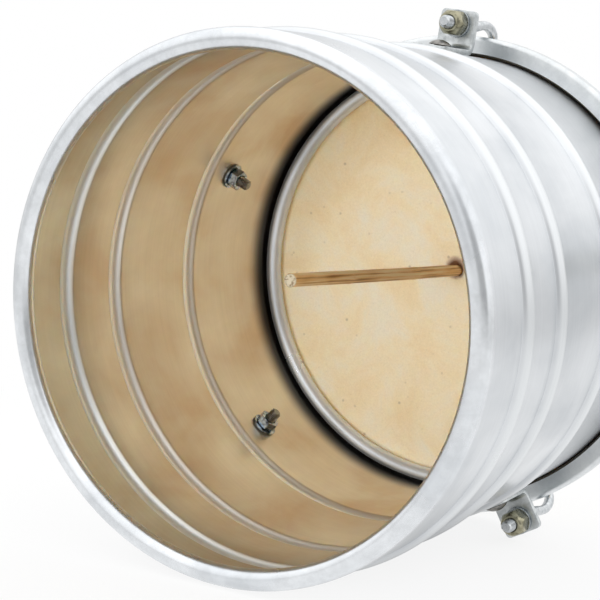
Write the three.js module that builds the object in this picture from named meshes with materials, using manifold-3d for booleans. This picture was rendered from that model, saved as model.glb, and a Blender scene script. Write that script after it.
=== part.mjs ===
// Cuica: a friction drum. A beaded aluminium shell with a goatskin head, five J-shaped
// tuning hooks on L brackets, and a cane stick tied to the middle of the skin.
// Millimetres, +Z up. The drum lies on its side as on a table: its open end faces -Y.
import * as THREE from 'three';
import { mergeVertices } from 'three/addons/utils/BufferGeometryUtils.js';
import Module from 'manifold-3d';

// Fits shared by all pieces
const fitGap = 0.3;           // air between two pieces that rest on each other
const cutOverrun = 2;         // how far a cutter passes a face
const roundSides = 50;        // flats round the drum's large rings
const smallSides = 16;        // flats round bolts, washers and rods
const bendStep = 45;          // degrees between the corners of a bend

// Shell: spun sheet, rolled inwards at both ends
const wallRadius = 120;
const wallSheet = 1;
const rollRadius = 4.8;
const rollTurn = 270;         // degrees that each roll is curled
const shellLength = 221;      // from the middle of one roll to the middle of the other
const rimToBead = 35.5;
const beadSpacing = 38;       // from the first bead to the second
const beadToFoot = 5.1;       // from the last bead to the brackets
const beadWidth = 10.4;
const beadHeight = 2.6;
const beadSteps = 4;

// Head: goatskin lapped round a wire hoop, held in a pressed channel
const skinThickness = 1;
const wireRadius = 2;
const lapRoom = 1.3;          // from the skin's collar to the lap round the wire
const lapEnd = 150;           // degrees round the wire where the lap ends
const collarClearance = 0.6;  // from the collar to the channel's edges
const collarTurn = 2;         // radius of the skin's turn into the channel
const channelSheet = 1.4;
const channelNearBend = 2.5;  // outer radius of the edge that faces the open end
const channelFarBend = 1.5;
const channelDrop = 7.6;      // from the bearing edge down to the channel

// Lugs: one bracket, hook, nut and bolt set at each of five places
const lugCount = 5;
const bracketWidth = 20;
const bracketSheet = 3;
const bracketBend = 3;        // inner radius of the bend
const plateCorner = 2.5;
const footCorner = 3;
const plateSetback = 27.4;    // from the channel back to the bracket's plate
const plateMargin = 7;        // plate beyond the rod's centre
const footLength = 29;
const boltSetback = 16.5;     // from the plate to the bolt
const rodRadius = 3.175;
const rodHoleClearance = 0.5;
const hookClearance = 1.4;    // from the channel's rim to the rod
const rodStickout = 5.6;      // rod past its nut
const rodLength = 35;
const crookRadius = 2.4;
const crookRoot = 4;          // length of crook inside the rod
const crookDip = 0.6;         // how far the crook starts inside the rod's line
const crookBow = 1.4;         // how far its crown stands out from the rod's line
const crookRise = 15;         // from the rod's end to the crown
const crookReach = 7.3;       // from the channel to the crook's farthest point
const crookFall = 6.8;        // from the crown in to the farthest point
const crookTip = 6.4;         // how far the tip reaches in over the channel
const crookSides = 8;
const crookCorners = 4;       // between the crown and the farthest point
const crookSteps = 18;
const tuningNutAcross = 12;
const tuningNutHeight = 9;
const tuningWasherRadius = 7;
const tuningWasherSheet = 1.5;
const boltRadius = 3;
const boltHeadRadius = 5.8;
const boltHeadHeight = 2.8;
const boltStickout = 5.7;     // bolt past its nut, inside the shell
const boltNutAcross = 10;
const boltNutHeight = 5;
const boltWasherRadius = 7;
const boltWasherSheet = 1.2;

// Stick: cane with a turned knob that the skin is tied round
const stickRadius = 3.3;
const stickReach = 181.8;     // from the knob's centre to the free end
const stickLean = 2.6;        // degrees off the drum's axis
const stickLeanTurn = 25;     // degrees from straight up towards -X
const tieAside = 1.6;         // how far off the axis the skin is tied
const tieAbove = 2.3;
const stickEdge = 0.6;
const stickSides = 12;
const knobRadius = 3.5;
const knobNeckRadius = 1.9;
const knobNeckLength = 2;
const knobRise = 5.7;         // knob's centre beyond the skin's middle layer
const knobTop = 60;           // degrees up the knob where its flat top starts
const pocketTop = 75;
const pocketNeck = -45;
const bindingRadius = 0.7;
const bindingGap = 0.95;      // from the tied neck's middle layer to the binding

// How it lies: on its rim and its channel, with one lug just clear of the floor
const restClearance = 0.3;

// Places worked out from the sizes above. Along the drum they are measured from the
// middle of the roll at the open end, and across it from the drum's axis. The large
// rings have flats, and each lug stands on the middle of one.
const degrees = THREE.MathUtils.degToRad;
const flatShare = Math.cos(Math.PI / roundSides);
const rollCentre = wallRadius - rollRadius;
const bearingEdge = shellLength + rollRadius;
const skinLevel = bearingEdge + fitGap + skinThickness / 2;
const collarRadius = wallRadius + fitGap + skinThickness / 2;
const lapLine = wireRadius + fitGap + skinThickness / 2;
const lapOutside = lapLine + skinThickness / 2;
const channelEdge = collarRadius + skinThickness / 2 + collarClearance;
const wireCentre = collarRadius + skinThickness / 2 + lapRoom + lapOutside;
const channelRadius = wireCentre + lapOutside + fitGap + channelSheet;
const channelFar = bearingEdge - channelDrop;
const channelNear = channelFar - 2 * (lapOutside + fitGap + channelSheet);
const wireLevel = (channelFar + channelNear) / 2;
const plateFar = channelNear - plateSetback;
const plateNear = plateFar - bracketSheet;
const footUnderside = wallRadius * flatShare + fitGap;
const footTop = footUnderside + bracketSheet;
const rodCentre = channelRadius + hookClearance + rodRadius;
const plateReach = rodCentre + plateMargin;
const boltPlace = plateNear - boltSetback;
const footEnd = plateNear - footLength;
const beadPlaces = [rimToBead, rimToBead + beadSpacing, footEnd - beadToFoot - beadWidth / 2];
const tuningWasherNear = plateNear - fitGap - tuningWasherSheet;
const tuningNutNear = tuningWasherNear - fitGap - tuningNutHeight;
const rodEnd = tuningNutNear - rodStickout;
const boltWasherInside = (wallRadius - wallSheet) * flatShare - fitGap - boltWasherSheet;
const boltNutInside = boltWasherInside - fitGap - boltNutHeight;
const boltEnd = boltNutInside - boltStickout;
const knobCentre = skinLevel + knobRise;
const pocketRadius = knobRadius + fitGap + skinThickness / 2;
const neckRadius = pocketRadius * Math.SQRT1_2;

const wasm = await Module();
wasm.setup();

// Profiles and paths

const at = (x, y) => new THREE.Vector2(x, y);

// Points on a circle, from one angle to another in degrees
function arc(x, y, radius, from, to, steps) {
  const points = [];
  for (let i = 0; i <= steps; i++) {
    const turn = degrees(from + (to - from) * i / steps);
    points.push(at(x + radius * Math.cos(turn), y + radius * Math.sin(turn)));
  }
  return points;
}

// Corners of a bend whose flats touch its circle, from one angle to another in degrees
function bend(x, y, radius, from, to, step = bendStep) {
  const corners = Math.max(1, Math.round(Math.abs(to - from) / step));
  const half = (to - from) / corners / 2;
  const outer = radius / Math.cos(degrees(half));
  return arc(x, y, outer, from + half, to - half, corners - 1 || 1).slice(0, corners);
}

// The outline of sheet of one thickness that follows a middle line
function sheetOutline(line, thickness) {
  const left = [];
  const right = [];
  line.forEach((point, i) => {
    const before = line[Math.max(i - 1, 0)];
    const after = line[Math.min(i + 1, line.length - 1)];
    const into = point.clone().sub(before).normalize();
    const out = after.clone().sub(point).normalize();
    if (i === 0) into.copy(out);
    if (i === line.length - 1) out.copy(into);
    const along = into.clone().add(out).normalize();
    const offset = thickness / 2 / along.dot(into);
    const side = at(-along.y, along.x).multiplyScalar(offset);
    left.push(point.clone().add(side));
    right.push(point.clone().sub(side));
  });
  return [...left, ...right.reverse()];
}

function roundedShape(halfWidth, low, high, corner) {
  return new THREE.Shape([
    at(-halfWidth, low),
    at(halfWidth, low),
    ...bend(halfWidth - corner, high - corner, corner, 0, 90),
    ...bend(-halfWidth + corner, high - corner, corner, 90, 180),
  ]);
}

function discShape(radius, sides = smallSides) {
  return new THREE.Shape(arc(0, 0, radius, 0, 360, sides).slice(1));
}

function hexShape(across) {
  return discShape(across / 2 / Math.cos(Math.PI / 6), 6);
}

// Bodies

// One closed body: shared corners merged and faces without area left out
function closedBody(geometry) {
  const bare = geometry.clone();
  bare.deleteAttribute('normal');
  bare.deleteAttribute('uv');
  const merged = mergeVertices(bare);
  const corners = merged.index.array;
  const faces = [];
  for (let i = 0; i < corners.length; i += 3) {
    const [a, b, c] = corners.slice(i, i + 3);
    if (a !== b && b !== c && c !== a) faces.push(a, b, c);
  }
  merged.setIndex(faces);
  return merged;
}

// A ring or turned piece round its Y axis, from an outline in (radius, place) points
function turned(outline, sides = roundSides) {
  const points = THREE.ShapeUtils.isClockWise(outline) ? outline.slice().reverse() : outline.slice();
  const onAxis = points.filter((point) => Math.abs(point.x) < Number.EPSILON * wallRadius).length > 1;
  if (!onAxis) points.push(points[0].clone());
  return closedBody(new THREE.LatheGeometry(points, sides, Math.PI / sides));
}

function extruded(shape, depth) {
  return new THREE.ExtrudeGeometry(shape, { depth, bevelEnabled: false });
}

// An outline of (across, out) points, drawn along the drum from one place to another
function alongDrum(shape, from, to) {
  return closedBody(extruded(shape, to - from).rotateX(Math.PI / 2).translate(0, to, 0));
}

// An outline of (along, out) points, drawn across the lug
function acrossLug(shape, width) {
  const turn = new THREE.Matrix4().makeBasis(at3(0, 1, 0), at3(0, 0, 1), at3(1, 0, 0));
  return closedBody(extruded(shape, width).translate(0, 0, -width / 2).applyMatrix4(turn));
}

// An outline of (across, along) points, drawn out from the axis
function outFromDrum(shape, from, to) {
  return closedBody(extruded(shape, to - from).translate(0, 0, from));
}

function at3(x, y, z) {
  return new THREE.Vector3(x, y, z);
}

function toManifold(geometry) {
  return new wasm.Manifold(new wasm.Mesh({
    numProp: 3,
    vertProperties: new Float32Array(geometry.attributes.position.array),
    triVerts: new Uint32Array(geometry.index.array),
  }));
}

function fromManifold(body) {
  const mesh = body.getMesh();
  const geometry = new THREE.BufferGeometry();
  geometry.setAttribute('position', new THREE.BufferAttribute(mesh.vertProperties, 3));
  geometry.setIndex(new THREE.BufferAttribute(mesh.triVerts, 1));
  return geometry;
}

function joined(first, ...others) {
  return fromManifold(others.reduce((body, other) => body.add(toManifold(other)), toManifold(first)));
}

function cut(first, ...cutters) {
  const cut = cutters.reduce((body, cutter) => body.subtract(toManifold(cutter)), toManifold(first));
  return fromManifold(cut);
}

function common(first, ...others) {
  const shared = others.reduce((body, other) => body.intersect(toManifold(other)), toManifold(first));
  return fromManifold(shared);
}

// Materials

const finish = (color, metalness, roughness) =>
  new THREE.MeshStandardMaterial({ color, metalness, roughness });

const satinAluminium = finish('#cfd3d6', 1, 0.34);
const goatskin = finish('#dcc79a', 0, 0.62);
const channelSteel = finish('#b9bec2', 1, 0.36);
const hoopWire = finish('#9aa0a3', 1, 0.4);
const galvanisedSteel = finish('#b4b9bb', 1, 0.42);
const forgedSteel = finish('#aab0b3', 1, 0.38);
const yellowZinc = finish('#a79f74', 1, 0.36);
const plainZinc = finish('#8d959b', 1, 0.34);
const blackZinc = finish('#3d444b', 1, 0.34);
const cane = finish('#c49a5e', 0, 0.5);
const waxedThread = finish('#8a6d47', 0, 0.8);

function piece(name, geometry, material, parent) {
  const mesh = new THREE.Mesh(geometry, material.clone());
  mesh.geometry.computeVertexNormals();
  mesh.name = name;
  parent.add(mesh);
  return mesh;
}

// Shell

// A roll has one flat square to the axis, so the drum stands level on its open end
function rollLine(place, side) {
  const line = rollRadius - wallSheet / 2;
  const curl = [...bend(0, 0, line, 0, rollTurn), ...arc(0, 0, line, rollTurn, rollTurn, 1).slice(1)];
  return curl.map((point) => at(rollCentre + point.x, place + side * point.y));
}

// A bead is an arc that stands out from the wall between two creases
function beadLine(place) {
  const half = beadWidth / 2;
  const radius = (half ** 2 + beadHeight ** 2) / (2 * beadHeight);
  const spread = THREE.MathUtils.radToDeg(Math.asin(half / radius));
  return arc(wallRadius - wallSheet / 2 + beadHeight - radius, place, radius, -spread, spread, beadSteps);
}

const shellOutline = sheetOutline([
  ...rollLine(0, -1).reverse(),
  ...beadPlaces.flatMap(beadLine),
  ...rollLine(shellLength, 1),
], wallSheet);

function boltHole(angle) {
  const radius = boltRadius + fitGap;
  const hole = outFromDrum(discShape(radius), rollCentre, wallRadius + cutOverrun);
  return hole.translate(0, boltPlace, 0).rotateY(angle);
}

function buildShell(parent) {
  piece('shell', cut(turned(shellOutline), ...lugTurns.map(boltHole)), satinAluminium, parent);
}

// Head

// Shares of the neck's fall from the pocket to the flat skin
const neckShares = [{ out: 0.05, up: 0.6 }, { out: 0.46, up: 0.22 }, { out: 1.4, up: 0 }];

// The skin starts over the knob, is drawn in at the tied neck, runs flat to the bearing
// edge, then down outside the shell and round the wire
function skinLine() {
  const fall = knobCentre - neckRadius - skinLevel;
  const pocket = arc(0, knobCentre, pocketRadius, pocketTop, pocketNeck, 4);
  const lapLevel = wireLevel - lapLine;
  return [
    at(0, pocket[0].y),
    ...pocket,
    ...neckShares.map((share) => at(neckRadius + fall * share.out, skinLevel + fall * share.up)),
    ...bend(rollCentre, shellLength, rollRadius + fitGap + skinThickness / 2, 90, 0),
    ...bend(collarRadius + collarTurn, lapLevel + collarTurn, collarTurn, 180, 270),
    ...bend(wireCentre, wireLevel, lapLine, -90, lapEnd),
  ];
}

// The knob is tied a little off the middle, so the pocket stands aside from the axis
function tiedAside(geometry) {
  const places = geometry.attributes.position;
  for (let i = 0; i < places.count; i++) {
    const [x, y, z] = [places.getX(i), places.getY(i), places.getZ(i)];
    if (Math.hypot(x, z) < rollCentre / 2) places.setXYZ(i, x + tieAside, y, z + tieAbove);
  }
  return geometry;
}

const halfChannel = channelSheet / 2;
const nearTurn = at(channelRadius - channelNearBend, channelNear + channelNearBend);
const farTurn = at(channelRadius - channelFarBend, channelFar - channelFarBend);
const channelOutline = sheetOutline([
  at(channelEdge, channelNear + halfChannel),
  ...bend(nearTurn.x, nearTurn.y, channelNearBend - halfChannel, -90, 0),
  ...bend(farTurn.x, farTurn.y, channelFarBend - halfChannel, 0, 90),
  at(channelEdge, channelFar - halfChannel),
], channelSheet);

function buildHead(parent) {
  piece('skin_head', tiedAside(turned(sheetOutline(skinLine(), skinThickness))), goatskin, parent);
  piece('counterhoop', turned(channelOutline), channelSteel, parent);
  piece('flesh_hoop', turned(bend(wireCentre, wireLevel, wireRadius, 0, 360)), hoopWire, parent);
  const bindingPlace = knobCentre - neckRadius - bindingRadius;
  const outline = bend(neckRadius + bindingGap + bindingRadius, bindingPlace, bindingRadius, 0, 360);
  const binding = turned(outline, smallSides);
  piece('stick_binding', binding, waxedThread, parent).position.set(tieAside, 0, tieAbove);
}

// Stick, drawn round its own Y axis with the knob's centre at the origin
function buildStick(parent) {
  const neckTop = -Math.sqrt(knobRadius ** 2 - knobNeckRadius ** 2);
  const neckEnd = neckTop - knobNeckLength;
  const outline = [
    at(0, knobRadius),
    ...arc(0, 0, knobRadius, knobTop, 0, 2),
    at(knobNeckRadius, neckTop),
    at(knobNeckRadius, neckEnd),
    at(stickRadius, neckEnd - (stickRadius - knobNeckRadius)),
    at(stickRadius, stickEdge - stickReach),
    at(stickRadius - stickEdge, -stickReach),
    at(0, -stickReach),
  ];
  const stick = piece('stick', turned(outline, stickSides), cane, parent);
  stick.position.set(tieAside, knobCentre, tieAbove);
  stick.rotation.set(-degrees(stickLean), -degrees(stickLeanTurn), 0, 'YXZ');
}

// Lug pieces. In a lug's own frame X runs across it, Y along the drum and Z out from the axis.

function bracketBody() {
  const sheetMiddle = bracketSheet / 2;
  const bendLine = bracketBend + sheetMiddle;
  const footLine = footTop - sheetMiddle;
  const plateLine = plateNear + sheetMiddle;
  const line = [
    at(footEnd, footLine),
    ...bend(plateLine - bendLine, footLine + bendLine, bendLine, -90, 0),
    at(plateLine, plateReach),
  ];
  const sheet = acrossLug(new THREE.Shape(sheetOutline(line, bracketSheet)), bracketWidth);
  const half = bracketWidth / 2;
  const plateForm = roundedShape(half, footUnderside - cutOverrun, plateReach, plateCorner);
  const fromEnd = roundedShape(half, -plateFar - cutOverrun, -footEnd, footCorner);
  const rodHole = discShape(rodRadius + rodHoleClearance);
  const boltBore = discShape(boltRadius + fitGap);
  const rodCutter = alongDrum(rodHole, plateNear - cutOverrun, plateFar + cutOverrun);
  const boltCutter = outFromDrum(boltBore, footUnderside - cutOverrun, footTop + cutOverrun);
  const form = common(
    sheet,
    alongDrum(plateForm, footEnd - cutOverrun, plateFar + cutOverrun),
    outFromDrum(fromEnd, footUnderside - cutOverrun, plateReach + cutOverrun).rotateZ(Math.PI),
  );
  return cut(form, rodCutter.translate(0, 0, rodCentre), boltCutter.translate(0, boltPlace, 0));
}

// A threaded rod drawn down to a round crook, which rises to a crown and curls in over the channel
function hookBody() {
  const rootEnd = rodEnd + rodLength;
  const rootHeight = rodCentre - crookDip;
  const crownPlace = rootEnd + crookRise;
  const farPlace = channelFar + crookReach;
  const farHeight = rodCentre + crookBow - crookFall;
  const tipHeight = channelRadius - crookTip;
  const lean = Math.atan2(farPlace - channelFar - fitGap - crookRadius, farHeight - tipHeight);
  const line = [
    at(rootEnd - crookRoot, rootHeight),
    at(rootEnd, rootHeight),
    ...arc(0, 0, 1, 90, 0, crookCorners).map((share) =>
      at(crownPlace + share.x * (farPlace - crownPlace), farHeight + share.y * crookFall)),
    at(channelFar + fitGap + crookRadius * Math.cos(lean), tipHeight),
  ];
  const path = new THREE.CatmullRomCurve3(line.map((point) => at3(0, point.x, point.y)));
  const settings = { steps: crookSteps, extrudePath: path };
  const crook = closedBody(new THREE.ExtrudeGeometry(discShape(crookRadius, crookSides), settings));
  const rod = alongDrum(discShape(rodRadius), rodEnd, rootEnd).translate(0, 0, rodCentre);
  return joined(rod, crook);
}

function ringShape(outer, inner, shape = discShape(outer)) {
  shape.holes.push(new THREE.Path(discShape(inner).getPoints().reverse()));
  return shape;
}

// A domed head with its shank, drawn outwards from the shank's end
function boltBody() {
  const headUnder = footTop + fitGap;
  const outline = [
    at(0, boltEnd),
    at(boltRadius, boltEnd),
    at(boltRadius, headUnder),
    at(boltHeadRadius, headUnder),
    at(boltHeadRadius, headUnder + boltHeadHeight * boltHeadShares.rim),
    at(boltHeadRadius * boltHeadShares.shoulder, headUnder + boltHeadHeight * boltHeadShares.rise),
    at(0, headUnder + boltHeadHeight),
  ];
  return turned(outline, smallSides).rotateX(Math.PI / 2);
}

const boltHeadShares = { rim: 0.3, shoulder: 0.72, rise: 0.8 };

function buildLug(parent, number) {
  piece(`bracket_${number}`, bracketBody(), galvanisedSteel, parent);
  piece(`tuning_hook_${number}`, hookBody(), forgedSteel, parent);

  const washerRing = ringShape(tuningWasherRadius, rodRadius + fitGap);
  const washerBody = alongDrum(washerRing, 0, tuningWasherSheet);
  const washer = piece(`tuning_washer_${number}`, washerBody, plainZinc, parent);
  washer.position.set(0, tuningWasherNear, rodCentre);

  const nutRing = ringShape(tuningNutAcross / 2, rodRadius + fitGap, hexShape(tuningNutAcross));
  const nut = alongDrum(nutRing, 0, tuningNutHeight);
  piece(`tuning_nut_${number}`, nut, yellowZinc, parent).position.set(0, tuningNutNear, rodCentre);

  const bolt = piece(`bracket_bolt_${number}`, boltBody(), plainZinc, parent);
  bolt.position.set(0, boltPlace, 0);

  const innerRing = ringShape(boltWasherRadius, boltRadius + fitGap);
  const innerBody = outFromDrum(innerRing, 0, boltWasherSheet);
  const innerWasher = piece(`inner_washer_${number}`, innerBody, blackZinc, parent);
  innerWasher.position.set(0, boltPlace, boltWasherInside);

  const innerHex = ringShape(boltNutAcross / 2, boltRadius + fitGap, hexShape(boltNutAcross));
  const innerNut = outFromDrum(innerHex, 0, boltNutHeight);
  piece(`inner_nut_${number}`, innerNut, blackZinc, parent).position.set(0, boltPlace, boltNutInside);
}

// Assembly. The drum lies on its side: one bead and the channel touch the floor, and the
// first lug is turned round to the nearest flat that keeps its plate off it.

const pivot = channelOutline.reduce((best, point) =>
  (point.x > best.x || (point.x === best.x && point.y < best.y) ? point : best));
const restSlope = Math.min(...shellOutline
  .filter((point) => point.y < pivot.y)
  .map((point) => (pivot.x - point.x) / (pivot.y - point.y)));
const floorAtPlate = (pivot.x - restSlope * (pivot.y - plateNear)) * flatShare;
const cornerOut = plateReach - plateCorner;
const cornerAside = bracketWidth / 2 - plateCorner;
const cornerShare = (floorAtPlate - restClearance - plateCorner) / Math.hypot(cornerOut, cornerAside);
const clearAngle = Math.atan2(cornerAside, cornerOut) + Math.acos(Math.min(1, cornerShare));
const flatAngle = 2 * Math.PI / roundSides;
const firstLugAngle = Math.ceil(clearAngle / flatAngle) * flatAngle;
const lugTurns = Array.from({ length: lugCount }, (_, i) =>
  Math.PI - firstLugAngle - i * 2 * Math.PI / lugCount);

const drum = new THREE.Group();
buildShell(drum);
buildHead(drum);
buildStick(drum);
lugTurns.forEach((turn, i) => {
  const lug = new THREE.Group();
  lug.rotation.y = turn;
  buildLug(lug, i + 1);
  drum.add(lug);
});

drum.rotation.x = Math.atan(restSlope * flatShare);
const lying = new THREE.Box3().setFromObject(drum, true);
const middle = lying.getCenter(new THREE.Vector3());
drum.position.set(-middle.x, -middle.y, -lying.min.z);

const group = new THREE.Group();
group.add(drum);

export default group;
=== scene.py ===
import bmesh
import bpy
import math
from mathutils import Matrix, Vector


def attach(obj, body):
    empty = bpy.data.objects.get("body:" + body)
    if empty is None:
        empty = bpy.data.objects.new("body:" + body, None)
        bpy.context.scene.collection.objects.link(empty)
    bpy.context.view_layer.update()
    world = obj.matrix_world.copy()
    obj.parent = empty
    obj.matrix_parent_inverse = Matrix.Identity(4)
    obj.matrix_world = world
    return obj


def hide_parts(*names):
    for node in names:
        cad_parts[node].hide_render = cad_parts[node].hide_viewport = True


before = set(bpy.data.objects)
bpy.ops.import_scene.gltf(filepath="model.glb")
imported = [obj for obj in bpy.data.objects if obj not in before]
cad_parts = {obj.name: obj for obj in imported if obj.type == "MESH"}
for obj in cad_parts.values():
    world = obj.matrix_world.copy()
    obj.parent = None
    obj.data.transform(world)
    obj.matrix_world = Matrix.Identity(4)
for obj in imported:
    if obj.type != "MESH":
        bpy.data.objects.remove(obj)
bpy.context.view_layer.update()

mm = 0.001
fullTurn = 2 * math.pi
fitGap = 0.3                                        # air between pieces that rest on each other, mm

# How the drum lies: its own frame has the axis along Y, from the rim towards the head
drumPlace = {
    "tilt": 2.71855,                                # degrees that the head end stands up
    "origin": (-4.5006, -113.1474, 120.5503),       # middle of the rim's roll, mm
    "lugs": 5,
    "firstLug": 28.8,                               # degrees from straight down
}
beads = (35.5, 73.5, 138.5)                         # ridges of the shell, mm from the rim
toWorld = (Matrix.Translation(Vector(drumPlace["origin"]) * mm)
           @ Matrix.Rotation(math.radians(drumPlace["tilt"]), 4, "X"))


def lugPlace(number):
    turn = math.pi - math.radians(drumPlace["firstLug"]) - number * fullTurn / drumPlace["lugs"]
    return toWorld @ Matrix.Rotation(turn, 4, "Y")


# Modelling helpers

def startWire(name, point):
    # one loose point, ready to be extruded along an outline
    bpy.ops.object.select_all(action="DESELECT")
    bpy.ops.mesh.primitive_plane_add(size=mm)
    piece = bpy.context.object
    piece.name = name
    piece.data.name = name
    bpy.ops.object.mode_set(mode="EDIT")
    bpy.ops.mesh.select_all(action="SELECT")
    bpy.ops.mesh.merge(type="CENTER")
    bpy.ops.transform.translate(value=point)
    return piece


def extrudeAlong(points, closed=False):
    # points are (x, y, z) in mm, the first one is where the wire starts
    steps = list(zip(points, points[1:])) + ([(points[-1], points[0])] if closed else [])
    for a, b in steps:
        move = tuple((q - p) * mm for p, q in zip(a, b))
        bpy.ops.mesh.extrude_vertices_move(TRANSFORM_OT_translate={"value": move})
    bpy.ops.mesh.select_all(action="SELECT")
    bpy.ops.mesh.remove_doubles(threshold=0.01 * mm)


def tidyNormals():
    bpy.ops.mesh.select_all(action="SELECT")
    bpy.ops.mesh.remove_doubles(threshold=0.005 * mm)
    bpy.ops.mesh.normals_make_consistent(inside=False)
    bpy.ops.object.mode_set(mode="OBJECT")


def spunPiece(name, profile, steps, closed=False, axis="Y"):
    # profile points are (radius, place along the axis) in mm
    along = (lambda r, s: (r, s, 0)) if axis == "Y" else (lambda r, s: (r, 0, s))
    points = [along(r, s) for r, s in profile]
    piece = startWire(name, tuple(p * mm for p in points[0]))
    extrudeAlong(points, closed)
    direction = (0, 1, 0) if axis == "Y" else (0, 0, 1)
    bpy.ops.mesh.spin(steps=steps, angle=fullTurn, center=(0, 0, 0), axis=direction)
    tidyNormals()
    return piece


def arc(x, y, radius, start, end, steps):
    turns = [math.radians(start + (end - start) * i / steps) for i in range(steps + 1)]
    return [(x + radius * math.cos(t), y + radius * math.sin(t)) for t in turns]


def selectVertices(piece, test):
    mesh = bmesh.from_edit_mesh(piece.data)
    for vertex in mesh.verts:
        vertex.select = test(vertex.co / mm)
    mesh.select_flush(True)
    bmesh.update_edit_mesh(piece.data)


def modify(piece, kind, **settings):
    bpy.ops.object.select_all(action="DESELECT")
    piece.select_set(True)
    bpy.context.view_layer.objects.active = piece
    modifier = piece.modifiers.new(kind.title(), kind)
    for key, value in settings.items():
        setattr(modifier, key, value)
    bpy.ops.object.modifier_apply(modifier=modifier.name)


def cutWith(piece, other, operation="DIFFERENCE"):
    modify(piece, "BOOLEAN", operation=operation, object=other, solver="EXACT")
    bpy.data.objects.remove(other)


def smoothPiece(piece, angle=35):
    bpy.ops.object.select_all(action="DESELECT")
    piece.select_set(True)
    bpy.context.view_layer.objects.active = piece
    bpy.ops.object.shade_smooth_by_angle(angle=math.radians(angle))


def joinPieces(main, *others):
    bpy.ops.object.select_all(action="DESELECT")
    for other in others:
        other.select_set(True)
    main.select_set(True)
    bpy.context.view_layer.objects.active = main
    bpy.ops.object.join()


def moveMesh(piece, matrix):
    bpy.ops.object.select_all(action="DESELECT")
    piece.select_set(True)
    bpy.context.view_layer.objects.active = piece
    piece.matrix_world = matrix
    bpy.ops.object.transform_apply(location=True, rotation=True, scale=True)


def finishPiece(piece, material, body, slot, *nodes):
    if material:
        piece.data.materials.clear()
        piece.data.materials.append(material)
    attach(piece, body)
    if nodes:
        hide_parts(*nodes)


def onEveryLug(master, name, node, material, slot, body):
    # one copy at each lug, each with its own mesh
    for number in range(drumPlace["lugs"]):
        piece = master.copy()
        piece.data = master.data.copy()
        piece.name = f"{name}{number + 1}"
        bpy.context.collection.objects.link(piece)
        moveMesh(piece, lugPlace(number))
        finishPiece(piece, material, body.format(number + 1), slot, f"{node}_{number + 1}")
    bpy.data.objects.remove(master)


# Materials

def toLinear(colour):
    channels = [int(colour[i:i + 2], 16) / 255 for i in (1, 3, 5)]
    return tuple(c / 12.92 if c <= 0.04045 else ((c + 0.055) / 1.055) ** 2.4 for c in channels) + (1.0,)


def newMaterial(name, **settings):
    material = bpy.data.materials.new(name)
    material.use_nodes = True
    shader = material.node_tree.nodes["Principled BSDF"]
    for key, value in settings.items():
        shader.inputs[key].default_value = value
    return material, shader


def addNode(material, kind, inputs, stops=(), **settings):
    node = material.node_tree.nodes.new(kind)
    for key, value in settings.items():
        setattr(node, key, value)
    for key, value in inputs.items():
        if isinstance(value, bpy.types.NodeSocket):
            material.node_tree.links.new(value, node.inputs[key])
        else:
            node.inputs[key].default_value = value
    for i, (position, colour) in enumerate(stops):
        ramp = node.color_ramp.elements
        stop = ramp[i] if i < 2 else ramp.new(position)
        stop.position = position
        stop.color = colour
    return node


def drumCoordinates(material):
    # object coordinates turned into the drum's own frame, in metres
    coordinates = addNode(material, "ShaderNodeTexCoord", {})
    return addNode(material, "ShaderNodeMapping", {
        "Vector": coordinates.outputs["Object"],
        "Location": Vector(drumPlace["origin"]) * mm,
        "Rotation": (math.radians(drumPlace["tilt"]), 0, 0),
    }, vector_type="TEXTURE").outputs[0]


def stretched(material, vector, scale):
    return addNode(material, "ShaderNodeMapping", {"Vector": vector, "Scale": scale}).outputs[0]


def drumSpan(material, along, fromPlace, toPlace, fromValue, toValue):
    # a smooth change between two places along the drum, in mm from the rim
    return addNode(material, "ShaderNodeMapRange", {
        "Value": along, "From Min": fromPlace * mm, "From Max": toPlace * mm, "To Min": fromValue,
        "To Max": toValue}, interpolation_type="SMOOTHSTEP").outputs[0]


# where marks on the shell begin and end, mm from the rim, or from a bead's middle for its crown
shellMarks = {"crown": (2.5, 5.5), "paintedReflectionNearRim": (30.0, 60.0), "rim": (0.0, 4.0), "lip": (215.0, 219.0)}


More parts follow.
